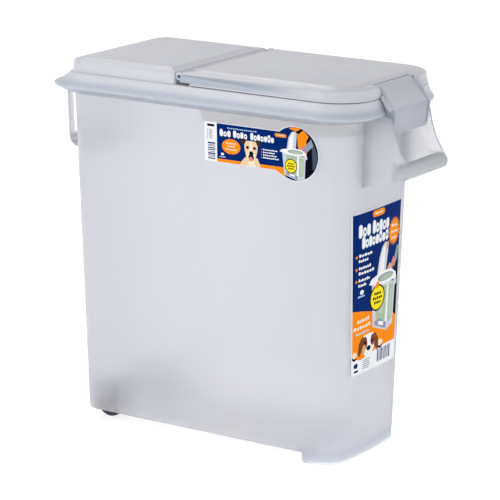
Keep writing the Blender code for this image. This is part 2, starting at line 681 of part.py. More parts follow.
def build_latch_pin(parent, mat):
    reach = NOTCH_HALF + EAR - 0.5 * MM
    bm = rod(LATCH_X, LATCH_Z, LATCH_PIN_R, -reach, reach, SMALL_ROUND)
    return add_object("latch_pin", bm, parent, mat, (LATCH_X, 0, LATCH_Z))


# ---------------------------------------------------------------- gaskets and labels

def build_rim_gasket(parent, mat):
    """A flat seal between the tub's rim and the frame's seat."""
    bm = ring_solid(inset(RIM, 0.9 * MM), inset(RIM, RIM_LAND - 0.6 * MM), RIM_TOP_Z + 0.2 * MM,
                    SEAT_Z - SHELL - 0.2 * MM)
    return add_object("rim_gasket", bm, parent, mat)


def build_door_gasket(parent, mat):
    bm = ring_solid(SEAL_TRACK, inset(SEAL_TRACK, 3.4 * MM), DECK_Z + GAP, DECK_Z + SEAL_HEIGHT)
    return add_object("door_gasket", bm, parent, mat)


def film(outline_points, lift):
    """A thin closed sheet. lift maps an outline point and its height off the wall to a position."""
    bm = bmesh.new()
    back, face = [[bm.verts.new(lift(p, off)) for p in outline_points] for off in (GAP, GAP + LABEL_THICK)]
    bm.faces.new(face)
    bm.faces.new(list(reversed(back)))
    for i in range(len(back)):
        j = (i + 1) % len(back)
        bm.faces.new((back[i], back[j], face[j], face[i]))
    bmesh.ops.recalc_face_normals(bm, faces=bm.faces)
    return bm


def side_label_outline():
    """(x, z) points: a long panel that runs into a round medallion."""
    cx, cz = MEDAL
    tail_x = -19.25 * MM
    tail_z = -math.sqrt(MEDAL_R ** 2 - tail_x ** 2)
    top_z = SIDE_LABEL_Z1 - cz
    start = math.degrees(math.atan2(tail_z, tail_x))
    end = math.degrees(math.atan2(top_z, -math.sqrt(MEDAL_R ** 2 - top_z ** 2)))
    panel = [(SIDE_LABEL_X0, SIDE_LABEL_Z1), (SIDE_LABEL_X0, SIDE_LABEL_Z0), (94.5 * MM, SIDE_LABEL_Z0)]
    return panel + arc_points(MEDAL, MEDAL_R, start, end, 36)


def build_side_label(parent, mat):
    bm = film(side_label_outline(), lambda p, off: (p[0], -tub_plan(p[1]).half - off, p[1]))
    return add_object("side_label", bm, parent, mat)


def front_wall_x(y, z):
    """The wall's X at a place on the front, or a little way round its corners."""
    plan = tub_plan(z)
    past = max(abs(y) - plan.half + plan.r_front, 0.0)
    round_x = plan.front - plan.r_front + math.sqrt(plan.r_front ** 2 - past ** 2)
    return round_x + plan.bow * (1 - (y / plan.half) ** 2)


def build_front_label(parent, mat):
    """A film that follows the bowed front wall and the start of its corners, in upright strips."""
    columns, rows = 20, 5
    heights = [i / rows for i in range(rows + 1)]
    section = [(t, GAP + LABEL_THICK) for t in heights] + [(t, GAP) for t in reversed(heights)]
    rings = []
    for i in range(columns + 1):
        ring = []
        for t, off in section:
            z, y0, y1 = (low + (high - low) * t for low, high in zip(FRONT_LABEL_LOW, FRONT_LABEL_HIGH))
            y = y0 + (y1 - y0) * i / columns
            ring.append(Vector((front_wall_x(y, z) + off, y, z)))
        rings.append(ring)
    bm = loft(rings)
    bmesh.ops.recalc_face_normals(bm, faces=bm.faces)
    return add_object("front_label", bm, parent, mat)


# ---------------------------------------------------------------- assembly

def main():
    clear_scene()
    clear_plastic = make_material("clear_plastic", (0.80, 0.81, 0.85), 0.35)
    lid_plastic = make_material("lid_plastic", (0.74, 0.75, 0.77), 0.4)
    seal = make_material("seal", (0.55, 0.50, 0.15), 0.7)
    black_plastic = make_material("black_plastic", (0.02, 0.02, 0.02), 0.5)
    steel = make_material("steel", (0.6, 0.6, 0.62), 0.3, 1.0)
    print_film = make_material("print_film", (0.02, 0.05, 0.2), 0.4)

    bin_empty = add_empty("bin", (0, 0, 0))
    lid_empty = add_empty("lid", (0, 0, RIM_TOP_Z), bin_empty)
    door_empty = add_empty("door_axis", (HINGE_X, 0, HINGE_Z), lid_empty)
    latch_empty = add_empty("latch_axis", (LATCH_X, 0, LATCH_Z), door_empty)

    build_tub(bin_empty, clear_plastic)
    build_axle(bin_empty, steel)
    for side, hand in ((-1, "right"), (1, "left")):
        build_wheel(f"wheel_{hand}", side, bin_empty, black_plastic)
        build_axle_cap(f"axle_cap_{hand}", side, bin_empty, black_plastic)
        build_hinge_pin(f"hinge_pin_{hand}", side, lid_empty, steel)
    build_lid_frame(lid_empty, lid_plastic)
    build_rim_gasket(lid_empty, seal)
    build_door_gasket(lid_empty, seal)
    build_door(door_empty, lid_plastic)
    build_latch_pin(door_empty, steel)
    build_latch(latch_empty, lid_plastic)
    build_side_label(bin_empty, print_film)
    build_front_label(bin_empty, print_film)


main()
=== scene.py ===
"""Looks of the roll-away pet food bin: finished plastics, label artwork, wheels, light and camera.

Units are metres in the CAD frame: +X is the front with the latch and pull handle, +Z is up.
"""
import math
from collections import namedtuple

import bmesh
import bpy
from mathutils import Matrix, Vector


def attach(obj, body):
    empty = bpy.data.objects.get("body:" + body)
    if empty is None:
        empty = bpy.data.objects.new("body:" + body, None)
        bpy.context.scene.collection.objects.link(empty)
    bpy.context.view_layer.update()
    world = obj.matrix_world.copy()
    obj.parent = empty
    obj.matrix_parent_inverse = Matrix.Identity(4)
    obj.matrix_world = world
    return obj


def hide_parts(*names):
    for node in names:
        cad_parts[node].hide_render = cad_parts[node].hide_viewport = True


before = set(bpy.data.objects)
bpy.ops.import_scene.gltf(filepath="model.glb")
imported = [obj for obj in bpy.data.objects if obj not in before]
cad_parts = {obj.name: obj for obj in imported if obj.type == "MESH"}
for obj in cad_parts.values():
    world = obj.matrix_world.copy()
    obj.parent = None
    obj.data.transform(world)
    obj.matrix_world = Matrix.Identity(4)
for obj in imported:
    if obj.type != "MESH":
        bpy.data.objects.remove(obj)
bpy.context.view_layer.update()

MM = 0.001

# The tub's walls, as in the CAD: height, front X, half width, front corner radius and front bow, at the
# footing and at the neck.
FOOTING = (13.5 * MM, 172.5 * MM, 86.0 * MM, 38.0 * MM, 5.0 * MM)
NECK = (440.0 * MM, 188.9 * MM, 98.0 * MM, 46.0 * MM, 4.0 * MM)

# The front film's lower and upper edge, as in the CAD: height and its two ends in Y.
FRONT_LOW = (113.2 * MM, -52.5 * MM, 51 * MM)
FRONT_HIGH = (324.3 * MM, -64 * MM, 52.5 * MM)

# The front artwork's sheet, in millimetres: its v range, half its width and the box of its ink.
FRONT_SHEET = (115.5, 321.5)
FRONT_REACH = 52.0
INK_LEFT, INK_BOTTOM, INK_RIGHT, INK_TOP = -50.4, 116.4, 51.0, 320.6

# The side artwork, in millimetres: where its u is zero in X, the long panel's box, the u where its navy
# ground starts, the round medallion's centre and radius, and the u, from that centre, where its curve meets
# the slope at the panel's end.
SIDE_ORIGIN = 2.5
PANEL_LEFT, PANEL_BOTTOM, PANEL_RIGHT, PANEL_TOP = -12.75, 376.5, 92.0, 427.0
NAVY_LEFT = 6.2
MEDAL_U, MEDAL_V, MEDAL_RADIUS = 121.25, 400.5, 34.7
MEDAL_TAIL = -19.25

# Label films: gap to the wall, film thickness, the height of one layer of ink, and the grid (in millimetres)
# on which every shape is cut so that it follows the wall.
FILM_GAP = 0.3 * MM
FILM_THICK = 0.3 * MM
INK = 0.02 * MM
FILM_STEP = (6.0, 12.0)

# Words shown as blocks: how much of its pitch a block fills, and how far each is lower than the tallest.
BLOCK_FILL = 0.86
BLOCK_DROPS = (0.0, 0.28, 0.12, 0.28, 0.2)

# Bar codes: the number of bars, and their widths and gaps in turn.
BARS = 10
BAR_WIDTHS = (1.0, 0.5, 0.6, 1.3, 0.5, 0.9)
BAR_GAPS = (0.7, 0.9, 0.6, 0.7, 1.0)

# Camera: angles, distance, focal length and the point it looks at.
CAMERA_AZIMUTH = 33.6
CAMERA_ELEVATION = 14.4
CAMERA_DISTANCE = 3.4
CAMERA_LENS = 189.4
CAMERA_TARGET = Vector((-6.75 * MM, 0.0, 240.0 * MM))

# Finishing the CAD shells: facets closer than this are merged, flatter than this are joined, sharper than
# this are rounded, and edges sharper than the last stay crisp in the shading.
MERGE_DISTANCE = 0.002 * MM
FLAT_ANGLE = math.radians(0.4)
SHARP_ANGLE = math.radians(30)
CRISP_ANGLE = math.radians(40)

# Light: sky brightness at the horizon and overhead, the floor's reach, grey and own glow, and three softboxes
# (azimuth, elevation, distance, size, watts). The back one draws the highlights along the lid's ridges.
SKY_HORIZON = 0.90
SKY_ZENITH = 0.52
FLOOR_SIZE = 12.0
FLOOR_GREY = 0.42
FLOOR_GLOW = 0.78
KEY_LIGHT = (-28, 18, 3.0, (1.2, 1.2), 17)
FILL_LIGHT = (95, 8, 3.0, (1.6, 1.2), 7)
BACK_LIGHT = (-127, 46, 3.0, (1.4, 0.5), 15)


# ---------------------------------------------------------------- materials

# A zone of painted light or shade on a plastic part, in millimetres: X and Z ranges, softness of the Z edges,
# tint, how far its X range leans back for each millimetre of height, and softness of the X edges.
Zone = namedtuple("Zone", "x z soft tint lean soft_x", defaults=(0.0, 2.5))
ALL_X = (-400, 400)

# The Mix node's colour sockets.
COLOUR_A, COLOUR_B, COLOUR_RESULT = 6, 7, 2


def new_material(name):
    mat = bpy.data.materials.new(name)
    mat.use_nodes = True
    nodes = mat.node_tree.nodes
    return mat, mat.node_tree, nodes["Principled BSDF"]


def add_node(tree, kind, **settings):
    node = tree.nodes.new(kind)
    for key, value in settings.items():
        setattr(node, key, value)
    return node


def coordinates(tree, stretch=(1.0, 1.0, 1.0)):
    """Object coordinates, scaled along each axis."""
    coord = add_node(tree, "ShaderNodeTexCoord")
    mapping = add_node(tree, "ShaderNodeMapping")
    mapping.inputs["Scale"].default_value = stretch
    tree.links.new(coord.outputs["Object"], mapping.inputs["Vector"])
    return mapping.outputs["Vector"]


def object_axes(tree):
    """The object coordinates' X, Y and Z, which are the row frame's."""
    split = add_node(tree, "ShaderNodeSeparateXYZ")
    tree.links.new(add_node(tree, "ShaderNodeTexCoord").outputs["Object"], split.inputs["Vector"])
    return split.outputs


def noise(tree, vector, scale, detail=3.0, roughness=0.5):
    node = add_node(tree, "ShaderNodeTexNoise")
    node.inputs["Scale"].default_value = scale
    node.inputs["Detail"].default_value = detail
    node.inputs["Roughness"].default_value = roughness
    tree.links.new(vector, node.inputs["Vector"])
    return node.outputs["Fac"]


def remap(tree, value, low, high, new_low=0.0, new_high=1.0, interpolation="LINEAR"):
    node = add_node(tree, "ShaderNodeMapRange", interpolation_type=interpolation)
    tree.links.new(value, node.inputs["Value"])
    node.inputs["From Min"].default_value = low
    node.inputs["From Max"].default_value = high
    node.inputs["To Min"].default_value = new_low
    node.inputs["To Max"].default_value = new_high
    return node.outputs["Result"]


def smooth(tree, value, start, end):
    """0 at start, 1 at end, eased."""
    if start < end:
        return remap(tree, value, start, end, 0.0, 1.0, "SMOOTHSTEP")
    return remap(tree, value, end, start, 1.0, 0.0, "SMOOTHSTEP")


def mix_colours(tree, factor, colour_a, colour_b, blend="MIX"):
    """Blend two colours, each a tuple or the socket of another node."""
    node = add_node(tree, "ShaderNodeMix", data_type="RGBA", blend_type=blend)
    tree.links.new(factor, node.inputs["Factor"])
    for index, colour in ((COLOUR_A, colour_a), (COLOUR_B, colour_b)):
        if isinstance(colour, tuple):
            node.inputs[index].default_value = (*colour, 1.0)
        else:
            tree.links.new(colour, node.inputs[index])
    return node.outputs[COLOUR_RESULT]


def math_node(tree, operation, a, b):
    node = add_node(tree, "ShaderNodeMath", operation=operation)
    for socket, value in zip(node.inputs, (a, b)):
        if isinstance(value, (int, float)):
            socket.default_value = value
        else:
            tree.links.new(value, socket)
    return node.outputs[0]


def plus(tree, a, b):
    return math_node(tree, "ADD", a, b)


def times(tree, a, b):
    return math_node(tree, "MULTIPLY", a, b)


def bump(tree, shader, height, distance):
    node = add_node(tree, "ShaderNodeBump")
    node.inputs["Distance"].default_value = distance
    tree.links.new(height, node.inputs["Height"])
    tree.links.new(node.outputs["Normal"], shader.inputs["Normal"])


def zone_mask(tree, zone):
    """1 inside a zone of the row frame, 0 outside it, with soft edges."""
    x, _, z = object_axes(tree)
    along = plus(tree, x, times(tree, z, zone.lean))
    masks = []
    for value, (low, high), soft in ((along, zone.x, zone.soft_x), (z, zone.z, zone.soft)):
        rise = smooth(tree, value, (low - soft) * MM, (low + soft) * MM)
        fall = smooth(tree, value, (high + soft) * MM, (high - soft) * MM)
        masks.append(times(tree, rise, fall))
    return times(tree, *masks)


def polypropylene(name, colour, cloud, transmission, roughness, scuff_low, scuff_high, painted_zones):
    """Natural white polypropylene: milky body, satin skin, faint flow marks, and scuffs low down.

    The painted zones tint it with painted light and shade: darker where the real plastic is thicker, doubled
    or in shade, and brighter where it is more brightly lit from inside.
    """
    mat, tree, shader = new_material(name)
    plain = coordinates(tree)
    flow = noise(tree, coordinates(tree, (1.0, 1.0, 0.25)), 9.0, detail=2.0)
    shade = mix_colours(tree, remap(tree, flow, 0.35, 0.65), colour, cloud)
    scratch = noise(tree, coordinates(tree, (1.0, 1.0, 6.0)), 160.0, detail=4.0, roughness=0.65)
    below = remap(tree, object_axes(tree)["Z"], scuff_low, scuff_high, 1.0, 0.0)
    worn = times(tree, below, remap(tree, scratch, 0.55, 0.7))
    scuffed = tuple(0.86 * c for c in colour)
    base = mix_colours(tree, worn, shade, scuffed)
    for zone in painted_zones:
        base = mix_colours(tree, zone_mask(tree, zone), base, zone.tint, "MULTIPLY")
    tree.links.new(base, shader.inputs["Base Color"])
    satin = remap(tree, noise(tree, plain, 60.0, detail=4.0), 0.3, 0.7, roughness - 0.05, roughness + 0.05)
    tree.links.new(plus(tree, satin, times(tree, worn, 0.15)), shader.inputs["Roughness"])
    grain = noise(tree, plain, 1400.0, detail=2.0)
    wave = noise(tree, plain, 14.0, detail=1.0)
    bump(tree, shader, plus(tree, times(tree, wave, 6.0), times(tree, grain, 0.25)), 0.06 * MM)
    shader.inputs["Transmission Weight"].default_value = transmission
    shader.inputs["IOR"].default_value = 1.49
    shader.inputs["Specular IOR Level"].default_value = 0.4
    return mat


def foam_rubber():
    """Olive foam with fine open cells."""
    mat, tree, shader = new_material("seal_foam")
    plain = coordinates(tree)
    cells = add_node(tree, "ShaderNodeTexVoronoi")
    cells.inputs["Scale"].default_value = 1600.0
    tree.links.new(plain, cells.inputs["Vector"])
    tone = mix_colours(tree, noise(tree, plain, 120.0), (0.60, 0.57, 0.22), (0.72, 0.69, 0.34))
    tree.links.new(tone, shader.inputs["Base Color"])
    bump(tree, shader, cells.outputs["Distance"], 0.2 * MM)
    shader.inputs["Roughness"].default_value = 0.85
    return mat


def black_moulding():
    """Matt black plastic with a little dust."""
    mat, tree, shader = new_material("black_moulding")
    plain = coordinates(tree)
    dust = remap(tree, noise(tree, plain, 90.0, detail=5.0, roughness=0.6), 0.5, 0.75)
    tone = mix_colours(tree, dust, (0.009, 0.014, 0.027), (0.028, 0.035, 0.053))
    tree.links.new(tone, shader.inputs["Base Color"])
    tree.links.new(remap(tree, dust, 0.0, 1.0, 0.38, 0.62), shader.inputs["Roughness"])
    bump(tree, shader, noise(tree, plain, 1500.0, detail=2.0), 0.08 * MM)
    return mat


def drawn_steel():
    """Wire with fine drawing lines along Y."""
    mat, tree, shader = new_material("drawn_steel")
    lines = noise(tree, coordinates(tree, (1.0, 0.02, 1.0)), 2600.0)
    tone = mix_colours(tree, lines, (0.50, 0.50, 0.52), (0.66, 0.66, 0.67))
    tree.links.new(tone, shader.inputs["Base Color"])
    tree.links.new(remap(tree, lines, 0.3, 0.7, 0.24, 0.42), shader.inputs["Roughness"])
    bump(tree, shader, lines, 0.03 * MM)
    shader.inputs["Metallic"].default_value = 1.0
    return mat


def printed_ink(name, colour):
    """Ink on a film: slight unevenness in tone, semi-gloss with fine handling marks."""
    mat, tree, shader = new_material(name)
    tone = noise(tree, coordinates(tree), 260.0, detail=4.0)
    thin = tuple(0.88 * c for c in colour)
    tree.links.new(mix_colours(tree, tone, thin, colour), shader.inputs["Base Color"])
    marks = noise(tree, coordinates(tree, (1.0, 1.0, 3.0)), 300.0, detail=4.0)
    tree.links.new(remap(tree, marks, 0.35, 0.7, 0.40, 0.52), shader.inputs["Roughness"])
    shader.inputs["Specular IOR Level"].default_value = 0.015
    return mat


INKS = {
    "white": (0.90, 0.91, 0.94),
    "navy": (0.0, 0.021, 0.155),
    "black": (0.004, 0.004, 0.012),
    "orange": (1.0, 0.28, 0.008),
    "yellow": (0.98, 0.80, 0.02),
    "sky": (0.42, 0.56, 0.85),
    "grey": (0.30, 0.33, 0.42),
    "silver": (0.62, 0.66, 0.72),
    "slate": (0.055, 0.085, 0.125),
    "sage": (0.43, 0.53, 0.40),
    "leaf": (0.50, 0.64, 0.44),
    "tan": (0.72, 0.42, 0.19),
    "fawn": (0.84, 0.64, 0.42),
    "cream": (0.92, 0.80, 0.62),
    "brown": (0.20, 0.055, 0.020),
    "umber": (0.050, 0.026, 0.020),
    "pink": (0.75, 0.25, 0.22),
}


# ---------------------------------------------------------------- CAD shells, finished

def finished_copy(node, body, mat, round_edge):
    """A copy of a CAD shell with merged facets, rounded moulded edges and smooth shading."""
    bm = bmesh.new()
    bm.from_mesh(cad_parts[node].data)
    bmesh.ops.remove_doubles(bm, verts=bm.verts, dist=MERGE_DISTANCE)
    bmesh.ops.dissolve_limit(bm, angle_limit=FLAT_ANGLE, verts=bm.verts, edges=bm.edges)
    edges = [e for e in bm.edges if e.is_manifold and e.calc_face_angle(0.0) > SHARP_ANGLE]
    bmesh.ops.bevel(bm, geom=edges, offset=round_edge, segments=2, profile=0.5, affect="EDGES",
                    clamp_overlap=True)
    bmesh.ops.remove_doubles(bm, verts=bm.verts, dist=MERGE_DISTANCE)
    mesh = bpy.data.meshes.new(f"{node}_shell")
    bm.to_mesh(mesh)
    bm.free()
    mesh.materials.clear()
    mesh.materials.append(mat)
    mesh.shade_smooth()
    mesh.set_sharp_from_angle(angle=CRISP_ANGLE)
    shell = bpy.data.objects.new(f"{node}_shell", mesh)
    bpy.context.collection.objects.link(shell)
    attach(shell, body)
    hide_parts(node)
    return shell


# ---------------------------------------------------------------- label artwork

# Artwork is a list of (ink, outline) shapes, each over the ones before it. Their u, v are millimetres on the
# label, as read off the photo; on_side and on_front lay them on the tub's wall.

def wall_at(z):
    """(front X, half width, front corner radius, front bow) of the tub's wall at height z."""
    t = (z - FOOTING[0]) / (NECK[0] - FOOTING[0])
    return tuple(a + (b - a) * t for a, b in zip(FOOTING[1:], NECK[1:]))


def on_side(u, v, lift):
    """Side label: u runs along X from SIDE_ORIGIN, and v is Z, in millimetres."""
    _, half, _, _ = wall_at(v * MM)
    return Vector(((u + SIDE_ORIGIN) * MM, -half - FILM_GAP - lift, v * MM))


def on_front(u, v, lift):
    """Front label: u and v cover the artwork's sheet, which is laid into the tapered film."""
    bottom, top = FRONT_SHEET
    up = (v - bottom) / (top - bottom)
    z, y0, y1 = (low + (high - low) * up for low, high in zip(FRONT_LOW, FRONT_HIGH))
    y = y0 + (y1 - y0) * (u + FRONT_REACH) / (2 * FRONT_REACH)
    front, half, radius, bow = wall_at(z)
    past = max(abs(y) - half + radius, 0.0)
    x = front - radius + math.sqrt(radius ** 2 - past ** 2) + bow * (1 - (y / half) ** 2)
    return Vector((x + FILM_GAP + lift, y, z))


def rect(u0, v0, u1, v1):
    return [(u0, v0), (u1, v0), (u1, v1), (u0, v1)]


def arc(cu, cv, radius_u, radius_v, start=0.0, end=360.0, steps=28):
    """Points along an ellipse's arc; a full turn leaves out the repeated last point."""
    last = steps if end - start < 360.0 else steps - 1
    angles = [math.radians(start + (end - start) * i / steps) for i in range(last + 1)]
    return [(cu + radius_u * math.cos(a), cv + radius_v * math.sin(a)) for a in angles]


def pill(u0, v0, u1, v1):
    """A bar with round ends, or a rounded block when it is tall."""
    r = min(u1 - u0, v1 - v0) / 2.0
    corners = ((u1 - r, v0 + r, -90), (u1 - r, v1 - r, 0), (u0 + r, v1 - r, 90), (u0 + r, v0 + r, 180))
    points = []
    for cu, cv, start in corners:
        points += arc(cu, cv, r, r, start, start + 90, 4)
    return points


def star(cu, cv, radius_u, radius_v, spikes, depth):
    """A star whose notches reach in to depth times its radius."""
    points = []
    for i in range(2 * spikes):
        share = 1.0 if i % 2 == 0 else depth
        angle = math.pi * i / spikes
        points.append((cu + radius_u * share * math.cos(angle), cv + radius_v * share * math.sin(angle)))
    return points


def blocks(ink, u0, u1, v0, v1, count, lean=0.0, hole=None):
    """A word shown as plain rounded blocks: count blocks of uneven height between u0 and u1.

    With a hole ink, every second block gets a small round window.
    """
    pitch = (u1 - u0) / count
    shapes = []
    for i in range(count):
        start = u0 + i * pitch
        top = v1 - (v1 - v0) * BLOCK_DROPS[i % len(BLOCK_DROPS)]
        lift = lean * i
        shapes.append((ink, pill(start, v0 + lift, start + BLOCK_FILL * pitch, top + lift)))
        if hole and i % 2 == 1:
            middle_u = start + 0.5 * BLOCK_FILL * pitch
            middle_v = (v0 + top) / 2.0 + lift
            shapes.append((hole, arc(middle_u, middle_v, 0.17 * pitch, 0.2 * (top - v0), steps=12)))
    return shapes


def headline(start, end, low, high, count, lean, margin):
    """A word in large white blocks with windows, over a sky blue edge of (left, right, below, above)."""
    left, right, below, above = margin
    return (blocks("sky", start - left, end + right, low - below, high + above, count, lean)
            + blocks("white", start, end, low, high, count, lean, "navy"))


def barcode(u0, v0, u1, v1, upright):
    """Bars of uneven width across a box. Upright bars follow each other along u."""
    span = (u1 - u0) if upright else (v1 - v0)
    pairs = [(BAR_WIDTHS[i % len(BAR_WIDTHS)], BAR_GAPS[i % len(BAR_GAPS)]) for i in range(BARS)]
    total = sum(bar + gap for bar, gap in pairs)
    place = 0.0
    shapes = []
    for bar, gap in pairs:
        low = place / total * span
        high = (place + bar) / total * span
        shape = rect(u0 + low, v0, u0 + high, v1) if upright else rect(u0, v0 + low, u1, v0 + high)
        shapes.append(("navy", shape))
        place += bar + gap
    return shapes


def scaled(points, cu, cv, size_u, size_v):
    return [(cu + u * size_u, cv + v * size_v) for u, v in points]


def mirrored(points):
    return [(-u, v) for u, v in reversed(points)]


def dog(cu, cv, size_u, size_v, coat, ear_ink, hanging):
    """A simple dog's head in a box of about 2 x 2 sizes, with hanging or with upright, folded ears."""
    def patch(ink, points):
        return ink, scaled(points, cu, cv, size_u, size_v)

    def spot(ink, u, v, radius_u, radius_v):
        return ink, arc(cu + u * size_u, cv + v * size_v, radius_u * size_u, radius_v * size_v, steps=20)

    face = [(-0.45, 0.86), (-0.64, 0.5), (-0.62, 0.1), (-0.5, -0.4), (-0.26, -0.9), (0.26, -0.9),
            (0.5, -0.4), (0.62, 0.1), (0.64, 0.5), (0.45, 0.86)]
    upright_ear = [(0.34, 0.8), (0.62, 1.04), (0.86, 1.0), (1.08, 0.66), (0.86, 0.52), (0.6, 0.44)]
    hanging_ear = [(0.36, 0.84), (0.7, 0.74), (0.96, 0.3), (1.04, -0.4), (0.86, -0.62), (0.58, -0.1)]
    ear = hanging_ear if hanging else upright_ear
    shapes = [patch(ear_ink, ear), patch(ear_ink, mirrored(ear)), patch(coat, face)]
    if hanging:
        shapes += [
            spot("brown", -0.4, 0.22, 0.28, 0.52), spot("brown", 0.42, 0.32, 0.22, 0.42),
            spot("tan", -0.44, -0.16, 0.18, 0.3), spot("white", 0.02, -0.5, 0.4, 0.42),
            patch("white", [(-0.2, 0.9), (-0.12, 0.1), (0.2, 0.1), (0.26, 0.88)]),
        ]
    else:
        shapes += [
            spot("cream", 0.0, -0.4, 0.42, 0.46),
            patch("cream", [(-0.1, 0.84), (-0.1, 0.0), (0.12, 0.0), (0.14, 0.84)]),
            spot("black", 0.0, -0.56, 0.27, 0.27), spot("pink", -0.02, -0.68, 0.19, 0.19),
        ]
    for side in (-1, 1):
        shapes += [spot("brown", side * 0.34, 0.28, 0.15, 0.13), spot("black", side * 0.34, 0.27, 0.1, 0.1)]
    shapes.append(spot("black", 0.02, -0.2, 0.21, 0.19))
    return shapes


def drawn_bin(cu, bottom, half, tall):
    """A small picture of a clear bin: body with food showing through it, rim and mouth."""
    parts = (
        ("silver", [(-1.0, 0.86), (-0.84, 0.14), (0.34, 0.0), (0.91, 0.07), (1.0, 0.76)]),
        ("sage", [(-0.66, 0.78), (-0.56, 0.24), (0.2, 0.16), (0.3, 0.74)]),
        ("leaf", [(-0.4, 0.6), (-0.36, 0.34), (-0.02, 0.3), (0.02, 0.66)]),
        ("white", [(0.3, 0.76), (0.2, 0.1), (0.4, 0.1), (0.44, 0.76)]),
        ("sage", [(0.44, 0.74), (0.42, 0.12), (0.8, 0.15), (0.86, 0.72)]),
        ("leaf", [(0.6, 0.66), (0.56, 0.2), (0.7, 0.2), (0.74, 0.62)]),
        ("grey", [(-0.72, 0.22), (-0.7, 0.16), (0.3, 0.03), (0.34, 0.13), (-0.3, 0.24)]),
        ("white", [(-0.4, 0.2), (-0.36, 0.14), (0.06, 0.1), (0.1, 0.16)]),
        ("silver", [(0.8, 0.9), (1.02, 0.9), (1.16, 0.72), (1.0, 0.68), (0.86, 0.76)]),
        ("white", [(-1.22, 0.85), (-1.03, 0.93), (-0.3, 0.985), (0.1, 1.0), (0.6, 0.985), (1.0, 0.9),
                   (1.08, 0.8), (0.86, 0.8), (0.5, 0.78), (0.0, 0.775), (-0.5, 0.79), (-0.95, 0.83)]),
    )
    shapes = [(ink, scaled(points, cu, bottom, half, tall)) for ink, points in parts]
    mouth_u, mouth_v = cu + 0.13 * half, bottom + 0.89 * tall
    return shapes + [
        ("grey", arc(mouth_u, mouth_v, 0.66 * half, 0.062 * tall)),
        ("sage", arc(mouth_u + 0.06 * half, mouth_v - 0.008 * tall, 0.52 * half, 0.044 * tall)),
    ]


def badge(cu, cv, radius_u, radius_v):
    """A yellow badge with a dark edge and three rows of small blocks."""
    shapes = [("black", arc(cu, cv, radius_u, radius_v)),
              ("yellow", arc(cu, cv, 0.88 * radius_u, 0.88 * radius_v))]
    for row, reach in ((0.34, 0.42), (0.0, 0.6), (-0.34, 0.42)):
        v = cv + row * radius_v
        shapes += blocks("black", cu - reach * radius_u, cu + (reach + 0.08) * radius_u,
                         v - 0.12 * radius_v, v + 0.13 * radius_v, 5)
    return shapes


def side_outline(grow=0.0):
    """The side label's outline: a long panel that runs into a round medallion."""
    radius = MEDAL_RADIUS + grow
    left, bottom, top = PANEL_LEFT, PANEL_BOTTOM - grow, PANEL_TOP + grow
    above = top - MEDAL_V
    start = math.degrees(math.atan2(-math.sqrt(radius ** 2 - MEDAL_TAIL ** 2), MEDAL_TAIL))
    end = math.degrees(math.atan2(above, -math.sqrt(radius ** 2 - above ** 2)))
    panel = [(left, top), (left, bottom), (PANEL_RIGHT, bottom)]
    return panel + arc(MEDAL_U, MEDAL_V, radius, radius, start, end, 44)


def side_ground():
    """The navy ground, the dark backdrop of the medallion and the orange hem."""
    medal_edge = arc(MEDAL_U, MEDAL_V, MEDAL_RADIUS - 1.4, MEDAL_RADIUS - 1.4, -60.0, 52.0, 20)
    backdrop_u = MEDAL_U + 13.0
    return [
        ("navy", [(max(u, NAVY_LEFT), v) for u, v in side_outline(-1.0)]),
        ("black", [(backdrop_u, 372.0)] + medal_edge + [(backdrop_u, 425.0)]),
        ("slate", [(142.0, 424.0), (148.6, 416.0), (153.6, 402.0), (153.2, 390.0), (147.0, 382.0),
                   (146.0, 408.0)]),
        ("orange", [(NAVY_LEFT, 381.0), (NAVY_LEFT, 377.0), (92.0, 377.0), (102.3, 372.2), (107.5, 369.6),
                    (106.5, 381.6), (60.0, 381.2)]),
    ]


def side_strip():
    """The white strip's small tag, lines and bar code."""
    shapes = [("black", pill(-8.4, 420.9, 2.8, 424.1))]
    for i in range(9):
        v = 416.6 - 1.4 * i
        shapes.append(("grey", rect(-8.6, v, -6.8, v + 0.7)))
        shapes.append(("grey", rect(-5.4, v, 0.6 - (0.0, 2.2, 1.0)[i % 3], v + 0.7)))
    return shapes + barcode(-7.6, 379.4, 3.4, 402.2, False)


